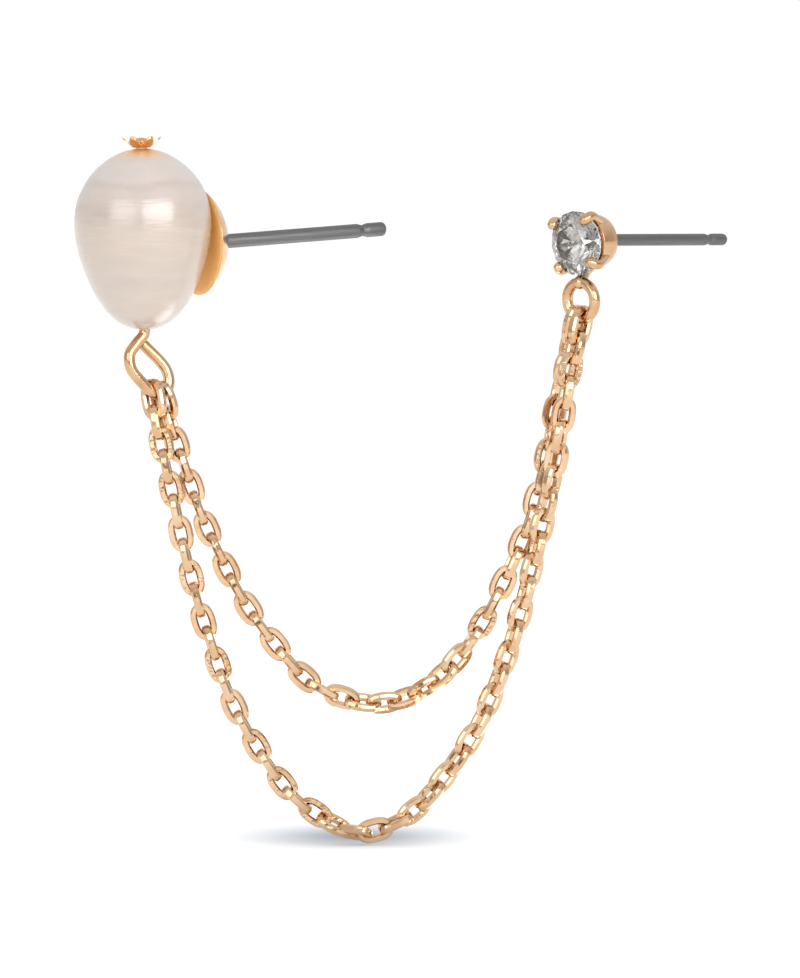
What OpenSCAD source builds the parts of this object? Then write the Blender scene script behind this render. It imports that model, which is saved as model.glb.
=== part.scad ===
/* [Pearl] */
// Widest diameter of the pearl, across its shoulder
pearl_w = 8.5; // [8.2:0.1:8.7]
// Height of the pearl from end to end
pearl_h = 11.2; // [10.8:0.1:11.4]
// How far the pearl's upper end leans to the left, in degrees
pearl_lean = 1; // [0:0.5:1.5]
// Clearance between the pearl and the metal that is glued or threaded in it
pearl_gap = 0.05; // [0.03:0.01:0.08]

/* [Star cap] */
// Span of the star cap from petal tip to petal tip
star_w = 2.4; // [2.0:0.1:2.8]
// Number of petals on the star cap
star_petals = 6; // [5:1:8]
// Thickness of the star cap's sheet metal
star_t = 0.14; // [0.1:0.02:0.2]

/* [Eye pin] */
// Diameter of the wire that runs through the pearl and forms the eye below it
eye_wire = 0.7; // [0.6:0.05:0.75]

/* [Pearl cup] */
// Turn of the cup's axis from straight back towards the right, in degrees
cup_turn = 62; // [60:1:64]
// Radius of the cup's domed back
cup_r = 4.2; // [4.1:0.05:4.3]
// Depth of the cup from its rim to the middle of its back
cup_depth = 1.6; // [1.5:0.1:1.7]
// Distance from the pearl's axis to the middle of the cup's back
cup_back = 5.4; // [5.3:0.1:5.5]
// Thickness of the cup's rim, which stands clear of the pearl at its sides
cup_rim = 0.3; // [0.2:0.05:0.5]

/* [Posts] */
// Length of each ear post
post_l = 11.5; // [10:0.5:12]
// Diameter of the post behind the pearl
pearl_post_d = 0.88; // [0.8:0.02:0.9]
// Diameter of the post behind the crystal
crystal_post_d = 0.74; // [0.7:0.02:0.76]
// Rise of the pearl's post towards its tip, in degrees
pearl_post_lift = 3; // [2:0.5:3.5]
// Fall of the crystal's post towards its tip, in degrees
crystal_post_drop = 1.4; // [1:0.1:2]

/* [Crystal] */
// Diameter of the round brilliant crystal
stone_d = 4; // [3.8:0.1:4.1]
// Turn of the crystal's axis from straight back towards the right, in degrees
head_turn = 42; // [41:1:43]
// Rise of the crystal's axis towards its back, in degrees
head_lift = 3; // [2:0.5:3.5]
// Distance from the crystal's girdle to the back of its basket
head_depth = 2.5; // [2.5:0.1:2.6]
// Thickness of each rounded claw
claw_d = 0.62; // [0.56:0.02:0.66]

/* [Chains] */
// Wire diameter of the ring that is soldered under the crystal's basket
ring_wire = 0.68; // [0.62:0.02:0.7]

/* [Hidden] */

// Smoothness of every round surface
round_fn = 72;

// The pearl: its mid-height stands a little above the axis of the cup
pearl_rise = 0.25;
pearl_pos = [-cup_back * sin(cup_turn), -cup_back * cos(cup_turn), pearl_rise];
egg_steps = 36;
// Fullness of the upper half, and how much of it fades again near the ends
egg_full = 0.2;
egg_fade = 0.16;
pin_hole_r = eye_wire / 2 + pearl_gap;
peg_r = 0.5;
peg_l = 1.8;
// Metal left between the peg and the bottom of the post's socket
peg_skin = 0.15;
// Where the pearl's skin lies on the cup's axis, measured from the seat
peg_start = cup_back - pearl_w / 2;

// The cup's hollow: a shallow bowl that meets the rim at its mouth and leaves a thick floor for
// the post's socket
cup_floor = 1.15;
cup_mouth_r = sqrt(pow(cup_r, 2) - pow(cup_r - cup_depth, 2)) - cup_rim;
hollow_depth = cup_depth - cup_floor;
hollow_r = (pow(cup_mouth_r, 2) + pow(hollow_depth, 2)) / (2 * hollow_depth);

// The star cap: a shallow dish cut to a star
star_foot_r = 0.55;
star_foot_t = 1.3 * star_t;
star_rise = 0.55;
star_valley = 0.55;

// The crystal's head: everything is measured along its axis from the back of the basket
stone_r = stone_d / 2;
crystal_seat = [23.6, 0, 0.1];
crown_h = 0.15 * stone_d;
pavilion_h = 0.43 * stone_d;
girdle_h = 0.12;
table_r = 0.56 * stone_r;
kite_r = 0.76 * stone_r;
main_r = 0.22 * stone_r;
stone_gap = 0.03;
basket_r = 1.7;
basket_wall = 0.3;
basket_rim = 1.8;
basket_floor = 0.45;
claw_skew = -8;
claw_foot_r = 1.55;
claw_out_r = stone_r + 0.2;
claw_tip_r = stone_r - 0.12;
claw_tip_z = -head_depth - 0.44;
claw_tip_swell = 1.1;
// How far up the claw's bend stands in front of the girdle, and how deep its foot is sunk
claw_bend_up = 0.05;
claw_sunk = 0.5;
ring_r = 1.12;
ring_drop = 3.56;
ring_z = 0.25 - head_depth;
neck_z = -1.5;

// The posts: a slimmer tapered spigot sits in a blind socket, and a V groove near the tip holds
// the back
spigot_l = 0.6;
spigot_in = 0.08;
socket_gap = 0.03;
shoulder_gap = 0.05;
crystal_spigot_l = 0.3;
groove_at = 2;
groove_w = 0.7;
groove_in = 0.1;
tip_l = 0.3;

// Small round head of the pin above the star cap, as height and share of the wire's radius
head_gap = 0.03;
PIN_HEAD = [
  // height, share
  [0.4, 0.3],
  [0.36, 0.8],
  [0.24, 1.2],
  [0.1, 1.25],
  [0, 1]
];

// Route of the wire below the pearl, from the pearl's lower end: x, y and z of its middle
EYE_ROUTE = [
  // x, y, z
  [0, 0, 1.2],
  [0, 0, 0.3],
  [-0.08, -0.03, -0.3],
  [-0.55, -0.3, -0.85],
  [-0.95, -0.55, -1.5],
  [-0.88, -0.6, -2.35],
  [-0.35, -0.42, -3.1],
  [0.25, -0.15, -3.72],
  [0.82, 0.2, -4.05],
  [1.27, 0.5, -3.82],
  [1.42, 0.68, -3.2],
  [1.24, 0.74, -2.5],
  [0.85, 0.7, -1.95],
  [0.35, 0.64, -1.42],
  [-0.15, 0.62, -0.9]
];

// Routes of the two chains from the pearl's eye to the crystal's ring: x, y, z of the middle,
// and the radius there, which is small where both chains share an eye or a ring
UPPER_ROUTE = [
  // x, y, z, radius
  [-3.4, -2, -10, 0.3],
  [-2.8, -1.9, -12.1, 0.5],
  [-1.9, -1.9, -14.8, 0.6],
  [-0.9, -1.8, -17.5, 0.75],
  [1.6, -1.7, -22.4, 0.75],
  [5, -1.5, -26.7, 0.75],
  [7.2, -1.4, -28, 0.75],
  [9.4, -1.3, -28.5, 0.75],
  [11.8, -1.2, -28, 0.75],
  [13.8, -1.1, -26.6, 0.75],
  [16.1, -1, -23.6, 0.75],
  [18.4, -0.9, -18.9, 0.6],
  [19.4, -0.8, -16, 0.5],
  [20.1, -0.8, -13.2, 0.5],
  [20.6, -0.8, -10.5, 0.5],
  [21.2, -0.8, -7.8, 0.5],
  [21.65, -1, -5.45, 0.3]
];
LOWER_ROUTE = [
  // x, y, z, radius
  [-3.9, -2.5, -10, 0.3],
  [-3.6, -3, -12.5, 0.5],
  [-3, -3, -15.3, 0.6],
  [-2.1, -3, -19.4, 0.75],
  [-1, -2.9, -23.5, 0.75],
  [1, -2.8, -28.9, 0.75],
  [4, -2.7, -33.6, 0.75],
  [6.2, -2.6, -35.4, 0.75],
  [8.2, -2.5, -36.4, 0.75],
  [9.9, -2.4, -36.1, 0.75],
  [12.2, -2.3, -34.8, 0.75],
  [15.5, -2.1, -30.5, 0.75],
  [17.7, -2, -25.4, 0.75],
  [19.2, -1.9, -20.1, 0.6],
  [20.5, -1.9, -14.4, 0.5],
  [21.15, -1.9, -10.5, 0.5],
  [21.65, -1.9, -7.85, 0.5],
  [22.2, -1.6, -5.45, 0.3]
];
chain_sides = 8;
chain_steps = 2;
wire_sides = 12;
wire_steps = 2;

// A point on the smooth curve between b and c, with neighbours a and d
function curve_point(a, b, c, d, t) =
  (2 * b + (c - a) * t + (2 * a - 5 * b + 4 * c - d) * t * t
    + (3 * b - a - 3 * c + d) * t * t * t) / 2;

// A list's item at i, continued straight on past either end
function item(list, i) =
  i < 0 ? 2 * list[0] - list[1]
  : i >= len(list) ? 2 * list[len(list) - 1] - list[len(list) - 2]
  : list[i];

// A list of points made finer along a smooth curve, with n steps from point to point
function smooth(list, n) = concat(
  [for (i = [0:len(list) - 2], k = [0:n - 1])
    curve_point(item(list, i - 1), list[i], list[i + 1], item(list, i + 2), k / n)],
  [list[len(list) - 1]]
);

function xyz(p) = [p[0], p[1], p[2]];
function unit(v) = v / norm(v);

// Half height z and radius r of the egg outline at angle t down from its upper end
function egg_bulge(t) = sin(t) * (1 + egg_full * cos(t) - egg_fade * pow(cos(t), 3));
egg_widest = max([for (t = [0:1:180]) egg_bulge(t)]);
function egg_point(t, gap) = [
  (pearl_w / 2) * egg_bulge(t) / egg_widest + gap * sin(t),
  (pearl_h / 2 + gap) * cos(t)
];

// A round tube along a list of points that each hold x, y, z and a radius
module tube(list, sides) {
  last = len(list) - 1;
  rings = [for (i = [0:last])
    let(
      ahead = unit(xyz(list[min(i + 1, last)]) - xyz(list[max(i - 1, 0)])),
      side = unit(cross(ahead, [0, 1, 0])),
      up = cross(ahead, side)
    )
    for (k = [0:sides - 1])
      xyz(list[i]) + list[i][3] * (cos(360 * k / sides) * side + sin(360 * k / sides) * up)];
  walls = [for (i = [0:last - 1], k = [0:sides - 1])
    let(
      a = i * sides + k,
      b = i * sides + (k + 1) % sides
    )
    each [[a, a + sides, b], [b, a + sides, b + sides]]];
  ends = [
    [for (k = [0:sides - 1]) k],
    [for (k = [sides - 1:-1:0]) last * sides + k]
  ];
  polyhedron(points = rings, faces = concat(walls, ends));
}

// A straight round rod between two points
module rod(from, to, r) {
  run = to - from;
  flat = norm([run[0], run[1]]);
  translate(from)
    rotate([0, atan2(flat, run[2]), atan2(run[1], run[0])])
      cylinder(r = r, h = norm(run), $fn = round_fn);
}

// Puts its children on an axis that leaves a seat: +Z runs back along it and +Y points down
module on_axis(seat, turn, lift) {
  translate(seat)
    rotate([lift - 90, 0, -turn])
      children();
}

module in_pearl() {
  translate(pearl_pos)
    rotate([0, -pearl_lean, 0])
      children();
}

module egg(gap) {
  rotate_extrude($fn = round_fn)
    polygon([for (i = [0:egg_steps]) egg_point(180 * i / egg_steps, gap)]);
}

module pearl() {
  color("#e4d8cd")
    difference() {
      in_pearl()
        difference() {
          egg(0);
          cylinder(r = pin_hole_r, h = 2 * pearl_h, center = true, $fn = round_fn);
        }
      on_axis([0, 0, 0], cup_turn, 0)
        translate([0, 0, -peg_start - peg_l - pearl_gap])
          cylinder(r = peg_r + pearl_gap, h = 2 * peg_l, $fn = round_fn);
    }
}

module star_cap() {
  foot_z = pearl_h / 2 + pearl_gap;
  color("#dba566")
    in_pearl()
      translate([0, 0, foot_z])
        difference() {
          intersection() {
            rotate_extrude($fn = round_fn)
              polygon([
                [0, 0],
                [star_foot_r, 0],
                [star_w / 2, star_rise],
                [star_w / 2, star_rise + star_t],
                [star_foot_r, star_foot_t],
                [0, star_foot_t]
              ]);
            linear_extrude(height = 3 * star_rise)
              polygon([for (k = [0:2 * star_petals - 1])
                let(reach = star_w / 2 * (k % 2 == 0 ? 1 : star_valley))
                [reach * cos(180 * k / star_petals), reach * sin(180 * k / star_petals)]]);
          }
          translate([0, 0, -star_rise])
            cylinder(r = pin_hole_r, h = 3 * star_rise, $fn = round_fn);
        }
}

module eye_pin() {
  r = eye_wire / 2;
  top = pearl_h + pearl_gap + star_foot_t + head_gap;
  head = [for (h = PIN_HEAD) [0, 0, top + h[0], r * h[1]]];
  eye = [for (p = smooth(EYE_ROUTE, wire_steps)) [p[0], p[1], p[2], r]];
  color("#dba566")
    in_pearl()
      translate([0, 0, -pearl_h / 2])
        tube(concat(head, eye), wire_sides);
}

module pearl_cup() {
  color("#e0a050")
    difference() {
      on_axis([0, 0, 0], cup_turn, 0)
        difference() {
          translate([0, 0, -cup_r])
            sphere(r = cup_r, $fn = 2 * round_fn);
          translate([0, 0, -cup_depth - 2 * cup_r])
            cylinder(r = 2 * cup_r, h = 2 * cup_r, $fn = round_fn);
          translate([0, 0, -cup_floor - hollow_r])
            sphere(r = hollow_r, $fn = 2 * round_fn);
        }
      in_pearl()
        egg(pearl_gap);
      on_axis([0, 0, 0], cup_turn, pearl_post_lift)
        post_socket(pearl_post_d, spigot_l);
    }
  // The peg on the cup's hollow side, which is glued into the pearl
  color("#e0a050")
    on_axis([0, 0, 0], cup_turn, 0)
      translate([0, 0, -peg_start - peg_l])
        cylinder(r = peg_r, h = peg_l + peg_start - spigot_l - peg_skin, $fn = round_fn);
}

// The tapered blind socket for a post's spigot, with its mouth at the seat
module post_socket(d, l) {
  end_r = d / 2 - 2 * spigot_in + socket_gap;
  translate([0, 0, -l - socket_gap])
    cylinder(r1 = end_r, r2 = end_r + 3 * spigot_in, h = 3 * l, $fn = round_fn);
}

// A straight ear post with its tapered spigot below the seat, a V groove near its tip and a
// rounded end
module post(d, l) {
  r = d / 2;
  rotate_extrude($fn = round_fn)
    polygon([
      [0, -l],
      [r - 2 * spigot_in, -l],
      [r - spigot_in, shoulder_gap],
      [r, shoulder_gap],
      [r, post_l - groove_at],
      [r - groove_in, post_l - groove_at + groove_w / 2],
      [r, post_l - groove_at + groove_w],
      [r, post_l - tip_l],
      [r * 0.87, post_l - tip_l / 2],
      [r * 0.5, post_l - tip_l * 0.13],
      [0, post_l]
    ]);
}

module pearl_post() {
  color("#8c8c8c")
    on_axis([0, 0, 0], cup_turn, pearl_post_lift)
      post(pearl_post_d, spigot_l);
}

module crystal_post() {
  color("#7c7c7c")
    on_axis(crystal_seat, head_turn, -crystal_post_drop)
      post(crystal_post_d, crystal_spigot_l);
}

// A round brilliant with its table up and the middle of its girdle at height 0
module brilliant() {
  half = girdle_h / 2;
  kite_z = half + crown_h * (stone_r - kite_r * cos(22.5)) / (stone_r - table_r);
  main_z = -half - pavilion_h * (1 - main_r * cos(22.5) / stone_r);
  // Corners in rings: count, radius, first angle and height
  rings = [
    [8, table_r, 0, half + crown_h],
    [8, kite_r, 22.5, kite_z],
    [16, stone_r, 0, half],
    [16, stone_r, 0, -half],
    [8, main_r, 22.5, main_z],
    [1, 0, 0, -half - pavilion_h]
  ];
  corners = [for (g = rings, k = [0:g[0] - 1])
    let(a = g[2] + 360 * k / g[0])
    [g[1] * cos(a), g[1] * sin(a), g[3]]];
  t = 0;
  k = 8;
  g = 16;
  h = 32;
  p = 48;
  facets = concat(
    [[for (i = [7:-1:0]) t + i]],
    [for (i = [0:7]) [t + i, t + (i + 1) % 8, k + i]],
    [for (i = [0:7]) [t + i, k + i, g + 2 * i, k + (i + 7) % 8]],
    [for (i = [0:7]) [k + i, g + 2 * i + 1, g + 2 * i]],
    [for (i = [0:7]) [k + i, g + (2 * i + 2) % 16, g + 2 * i + 1]],
    [for (i = [0:15]) [g + i, g + (i + 1) % 16, h + (i + 1) % 16, h + i]],
    [for (i = [0:7]) [p + 8, p + (i + 7) % 8, h + 2 * i, p + i]],
    [for (i = [0:7]) [p + i, h + 2 * i, h + 2 * i + 1]],
    [for (i = [0:7]) [p + i, h + 2 * i + 1, h + (2 * i + 2) % 16]]
  );
  polyhedron(points = corners, faces = facets);
}

module crystal() {
  color("#c9d3dc")
    on_axis(crystal_seat, head_turn, head_lift)
      translate([0, 0, -head_depth])
        rotate([180, 0, claw_skew])
          brilliant();
}

// The room that the crystal needs in its claws: its outline turned about its axis
module stone_room() {
  half = girdle_h / 2 + stone_gap;
  r = stone_r + stone_gap;
  translate([0, 0, -head_depth])
    rotate_extrude($fn = round_fn)
      polygon([
        [0, -half - crown_h],
        [table_r, -half - crown_h],
        [r, -half],
        [r, half],
        [0, half + pavilion_h]
      ]);
}

module claw() {
  r = claw_d / 2;
  knee = [claw_out_r, 0, -head_depth - claw_bend_up];
  tip = [claw_tip_r, 0, claw_tip_z];
  rod([claw_foot_r, 0, claw_sunk - basket_rim], knee, r);
  translate(knee)
    sphere(r = r, $fn = round_fn);
  rod(knee, tip, r);
  translate(tip)
    sphere(r = r * claw_tip_swell, $fn = round_fn);
}

module basket() {
  rotate_extrude($fn = round_fn)
    polygon([
      [0, 0],
      [0.85, 0],
      [1.3, -0.16],
      [1.58, -0.45],
      [basket_r, -0.85],
      [basket_r, -basket_rim],
      [basket_r - basket_wall, -basket_rim],
      [basket_r - basket_wall, -0.95],
      [1.1, -basket_floor - 0.1],
      [0.9, -basket_floor],
      [0, -basket_floor]
    ]);
}

// The ring, and the short neck of solder that joins it to the basket
module ring() {
  rod([0, basket_r - basket_wall / 2, neck_z], [0, ring_drop - ring_r, ring_z], ring_wire / 2);
  translate([0, ring_drop, ring_z])
    rotate_extrude($fn = round_fn)
      translate([ring_r, 0])
        circle(r = ring_wire / 2, $fn = round_fn);
}

module crystal_setting() {
  color("#d9a06c")
    difference() {
      on_axis(crystal_seat, head_turn, head_lift)
        difference() {
          union() {
            basket();
            for (k = [0:3])
              rotate([0, 0, 45 + 90 * k + claw_skew])
                claw();
            ring();
          }
          stone_room();
        }
      on_axis(crystal_seat, head_turn, -crystal_post_drop)
        post_socket(crystal_post_d, crystal_spigot_l);
    }
}

module upper_chain() {
  color("#dcae74")
    tube(smooth(UPPER_ROUTE, chain_steps), chain_sides);
}

module lower_chain() {
  color("#dcae74")
    tube(smooth(LOWER_ROUTE, chain_steps), chain_sides);
}

pearl();
star_cap();
eye_pin();
pearl_cup();
pearl_post();
crystal();
crystal_setting();
crystal_post();
upper_chain();
lower_chain();
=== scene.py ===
# %% [markdown]
# A pearl and crystal earring. Two studs, a drilled pearl on a gold cup and a small crystal in
# four claws, are joined by two fine gold chains that hang in swags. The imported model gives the
# true size and place of every piece, so it is loaded first and nothing in it is moved.

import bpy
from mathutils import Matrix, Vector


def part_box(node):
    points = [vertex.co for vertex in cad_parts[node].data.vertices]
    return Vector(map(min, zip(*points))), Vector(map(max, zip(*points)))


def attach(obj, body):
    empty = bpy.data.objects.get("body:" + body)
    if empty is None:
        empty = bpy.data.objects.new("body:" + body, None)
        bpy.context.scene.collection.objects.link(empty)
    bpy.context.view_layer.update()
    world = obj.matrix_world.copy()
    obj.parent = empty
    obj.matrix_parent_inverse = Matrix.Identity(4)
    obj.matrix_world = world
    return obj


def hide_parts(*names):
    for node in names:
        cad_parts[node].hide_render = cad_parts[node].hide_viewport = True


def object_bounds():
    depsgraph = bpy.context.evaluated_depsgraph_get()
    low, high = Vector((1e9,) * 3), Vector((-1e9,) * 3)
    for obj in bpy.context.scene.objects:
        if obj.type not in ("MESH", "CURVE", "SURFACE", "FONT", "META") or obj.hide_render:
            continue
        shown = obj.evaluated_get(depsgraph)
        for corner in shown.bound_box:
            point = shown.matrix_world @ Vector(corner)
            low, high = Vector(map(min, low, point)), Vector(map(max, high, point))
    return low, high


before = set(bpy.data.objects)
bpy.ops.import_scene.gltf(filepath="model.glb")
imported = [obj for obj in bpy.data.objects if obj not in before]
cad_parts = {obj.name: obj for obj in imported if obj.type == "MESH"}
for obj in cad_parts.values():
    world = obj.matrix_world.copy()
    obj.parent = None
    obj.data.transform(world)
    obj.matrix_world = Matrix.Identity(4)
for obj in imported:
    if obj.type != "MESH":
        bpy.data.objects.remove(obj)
cad_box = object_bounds()
print("CAD pieces:", sorted(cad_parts))

# %% [markdown]
# Jewellery is measured in millimetres and Blender works in metres. Every piece of the earring is
# worked out in millimetres, and one number turns it to metres when it is finished. All pieces
# but the crystal start as grids: rows of points with four-sided faces between them, computed as
# whole arrays.

# %% Shapes as grids of points
import math

import bmesh
import bpy
import numpy as np
from mathutils import Matrix, Vector

MM = 0.001
# Points nearer than this many millimetres are one point
SAME_POINT = 1e-4


def grid_faces(rows, columns, rows_close=False):
    """Faces between neighbouring rows and columns. Columns always close into a loop, and rows
    do when rows_close is set, so the last line meets the first."""
    r = np.arange(rows if rows_close else rows - 1)[:, None]
    c = np.arange(columns)[None, :]
    next_r = (r + 1) % rows
    next_c = (c + 1) % columns
    corners = [
        r * columns + c,
        r * columns + next_c,
        next_r * columns + next_c,
        next_r * columns + c,
    ]
    return np.stack(corners, -1).reshape(-1, 4)


def shape(name, points, faces):
    """A closed mesh object from points in millimetres. Points that coincide, as at a pole, are
    merged, and then all faces are turned outwards."""
    mesh = bpy.data.meshes.new(name)
    mesh.from_pydata(points.tolist(), [], faces.tolist())
    work = bmesh.new()
    work.from_mesh(mesh)
    bmesh.ops.remove_doubles(work, verts=work.verts, dist=SAME_POINT)
    bmesh.ops.recalc_face_normals(work, faces=work.faces)
    work.to_mesh(mesh)
    work.free()
    made = bpy.data.objects.new(name, mesh)
    bpy.context.scene.collection.objects.link(made)
    return made


print("one millimetre is", MM, "m")

# %% [markdown]
# Most jewellery parts start on a lathe or as wire, so two makers cover nearly all of them. One
# turns a profile about an axis. The other carries a round section along a path. Sharp corners
# catch no light on polished metal, so a third helper rounds the corners of a profile or a path.


# %% Rounding, turning and sweeping
def unit(vectors):
    """Each vector divided by its own length."""
    return vectors / np.linalg.norm(vectors, axis=-1, keepdims=True)


def rounded(corners, radius, steps=4):
    """Each inner corner of a line becomes a short curve. It starts and ends `radius` from the
    corner, or 45% along a shorter side, and runs (1-t)^2 a + 2t(1-t) b + t^2 c between."""
    p = np.asarray(corners, float)
    corner = p[1:-1]

    def along(side):
        gap = side - corner
        length = np.linalg.norm(gap, axis=1, keepdims=True)
        return corner + gap * np.minimum(radius / length, 0.45)

    a = along(p[:-2])[:, None]
    c = along(p[2:])[:, None]
    b = corner[:, None]
    t = np.linspace(0, 1, steps + 1)[None, :, None]
    curves = (1 - t) ** 2 * a + 2 * t * (1 - t) * b + t**2 * c
    return np.vstack([p[:1], curves.reshape(-1, p.shape[1]), p[-1:]])


def turned(profile, sides=96, closed=False):
    """A profile of (radius, height) turned about Z: x = r cos a, y = r sin a, z = height."""
    a = np.linspace(0, 2 * np.pi, sides, endpoint=False)
    r, z = np.asarray(profile, float).T
    x = r[:, None] * np.cos(a)
    y = r[:, None] * np.sin(a)
    points = np.stack([x, y, z[:, None] + 0 * a], -1)
    return points.reshape(-1, 3), grid_faces(len(r), sides, closed)


def swept(path, radii, across, sides=24):
    """A round wire along a path: centre + radius (cos a side + sin a up), where side is square
    to the path and to `across`, and up is square to both."""
    ahead = unit(np.gradient(path, axis=0))
    side = unit(np.cross(ahead, across))
    up = np.cross(ahead, side)
    a = np.linspace(0, 2 * np.pi, sides, endpoint=False)[None, :, None]
    ring = np.cos(a) * side[:, None] + np.sin(a) * up[:, None]
    points = path[:, None] + np.asarray(radii, float)[:, None, None] * ring
    return points.reshape(-1, 3), grid_faces(len(path), sides)


def round_ends(path, radii, steps=5):
    """The same path and radii with half a ball added past each end, so the wire closes."""
    a = np.linspace(0, np.pi / 2, steps + 1)[1:]
    first = unit(path[0] - path[1])
    last = unit(path[-1] - path[-2])
    start = path[0] + radii[0] * np.sin(a)[::-1, None] * first
    end = path[-1] + radii[-1] * np.sin(a)[:, None] * last
    sizes = [radii[0] * np.cos(a)[::-1], radii, radii[-1] * np.cos(a)]
    return np.vstack([start, path, end]), np.concatenate(sizes)


print("a corner of 3 points rounds to", len(rounded([[0, 0], [1, 0], [1, 1]], 0.2)), "points")

# %% [markdown]
# The two studs face different ways, because each post is turned to pass through the ear. A stud
# is easiest to work out upright and then laid on its own axis. The pearl leans by one degree.


# %% Places and axes
def about_x(degrees):
    """The matrix of a turn about X."""
    c, s = math.cos(math.radians(degrees)), math.sin(math.radians(degrees))
    return np.array([[1, 0, 0], [0, c, -s], [0, s, c]])


def about_y(degrees):
    """The matrix of a turn about Y."""
    c, s = math.cos(math.radians(degrees)), math.sin(math.radians(degrees))
    return np.array([[c, 0, s], [0, 1, 0], [-s, 0, c]])


def about_z(degrees):
    """The matrix of a turn about Z."""
    c, s = math.cos(math.radians(degrees)), math.sin(math.radians(degrees))
    return np.array([[c, -s, 0], [s, c, 0], [0, 0, 1]])


def on_axis(points, seat, turn, lift):
    """Points laid on an axis that leaves a seat: +Z runs back along it and +Y points down."""
    return points @ (about_z(-turn) @ about_x(lift - 90)).T + np.asarray(seat, float)


CUP_SEAT = (0, 0, 0)
CUP_TURN = 62
CUP_BACK = 5.4
PEARL_LEAN = 1
PEARL_RISE = 0.25
PEARL_H = 11.2
pearl_centre = np.array(
    [
        -CUP_BACK * math.sin(math.radians(CUP_TURN)),
        -CUP_BACK * math.cos(math.radians(CUP_TURN)),
        PEARL_RISE,
    ]
)


def in_pearl(points):
    """Points given from the pearl's middle, leaned and moved to where the pearl hangs."""
    return points @ about_y(-PEARL_LEAN).T + pearl_centre


print("the pearl's middle is at", pearl_centre.round(2), "mm")

# %% [markdown]
# Real parts are drilled, filed and soldered. A Boolean does the same to a mesh: it cuts one
# closed shape from another or joins two into one. Its result is kept as the piece's own mesh,
# so no modifier is left on it. A cut can leave slivers, faces too thin to have an area, and they
# are dissolved before anything else is done.


# %% Cutting and joining
# The thinnest face that is kept, in millimetres
SLIVER = 0.001


def cleaned(mesh):
    """The mesh in triangles, without points closer or faces thinner than a sliver."""
    work = bmesh.new()
    work.from_mesh(mesh)
    bmesh.ops.remove_doubles(work, verts=work.verts, dist=SLIVER)
    bmesh.ops.triangulate(work, faces=work.faces)
    bmesh.ops.dissolve_degenerate(work, edges=work.edges, dist=SLIVER)
    bmesh.ops.triangulate(work, faces=work.faces)
    work.to_mesh(mesh)
    work.free()
    return mesh


def worked(piece, other, how):
    """piece with `other` cut away (DIFFERENCE) or soldered on (UNION). The other is used up."""
    modifier = piece.modifiers.new(how.lower(), "BOOLEAN")
    modifier.operation = how
    modifier.object = other
    modifier.solver = "EXACT"
    result = bpy.data.meshes.new_from_object(
        piece.evaluated_get(bpy.context.evaluated_depsgraph_get())
    )
    piece.modifiers.clear()
    piece.data = cleaned(result)
    bpy.data.objects.remove(other)
    return piece


print("faces thinner than", SLIVER, "mm are dissolved")

# %% [markdown]
# A polished part is smooth, but the edges that the maker left stay crisp. So a finished piece is
# shaded smooth, and only edges over a chosen angle stay sharp. It also gets its size in metres, its
# material and its ties to the imported model: what it rides on and what it stands for. Some pieces
# have a second finish on part of their faces, such as a foil.


# %% Finishing a piece
def vectors_of(items, what):
    """One row of three numbers for each vertex or face of a mesh, such as its place or normal."""
    values = np.empty(3 * len(items))
    items.foreach_get(what, values)
    return values.reshape(-1, 3)


def finished(piece, material, node, sharp=35):
    """The piece in metres, smooth but for edges over `sharp` degrees, with its material, and
    standing for its CAD node."""
    piece.data.transform(Matrix.Scale(MM, 4))
    piece.data.shade_smooth()
    piece.data.set_sharp_from_angle(angle=math.radians(sharp))
    piece.data.materials.clear()
    piece.data.materials.append(material)
    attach(piece, "root")
    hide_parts(node)
    low, high = np.array(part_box(node)) / MM
    at = vectors_of(piece.data.vertices, "co") / MM
    print(piece.name, len(piece.data.polygons), "faces;", "size", np.ptp(at, axis=0).round(2))
    proud = np.stack([low - at.min(0), at.max(0) - high])
    print("  past its CAD node's box, low and high sides, in mm:", proud.round(2).tolist())
    return piece


def second_finish(piece, material, chosen):
    """A second material, on the faces for which `chosen` is true."""
    piece.data.materials.append(material)
    piece.data.polygons.foreach_set("material_index", chosen.astype(np.int32))
    print(" ", material.name, "is on", int(chosen.sum()), "faces of", piece.name)


print("edges over 35 degrees stay sharp, unless a piece says otherwise")

# %% [markdown]
# A material is a small network of nodes. One function adds a node, sets what it is given and
# links what it is given. Another turns a colour as seen on a screen into the linear light that
# Blender reckons with, and a third starts a new material.


# %% Colours and nodes
def colour(code):
    """A hex colour turned to linear light: c / 12.92 when dark, else ((c + 0.055) / 1.055)^2.4."""
    c = np.array([int(code[i : i + 2], 16) for i in (1, 3, 5)]) / 255
    light = np.where(c <= 0.04045, c / 12.92, ((c + 0.055) / 1.055) ** 2.4)
    return (*light.tolist(), 1.0)


def add(tree, kind, inputs=None, stops=(), **settings):
    """One node of a kind. Settings are its own options. An input is a value or the socket that
    feeds it. Stops are a colour ramp's places, from 0 to 1, each with its hex colour."""
    made = tree.nodes.new(kind)
    for key, value in settings.items():
        setattr(made, key, value)
    for socket, value in (inputs or {}).items():
        if isinstance(value, bpy.types.NodeSocket):
            tree.links.new(value, made.inputs[socket])
        else:
            made.inputs[socket].default_value = value
    if stops:
        places = made.color_ramp.elements
        while len(places) < len(stops):
            places.new(0.5)
        for place, (at, code) in zip(places, stops):
            place.position = at
            place.color = colour(code)
    return made


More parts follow.
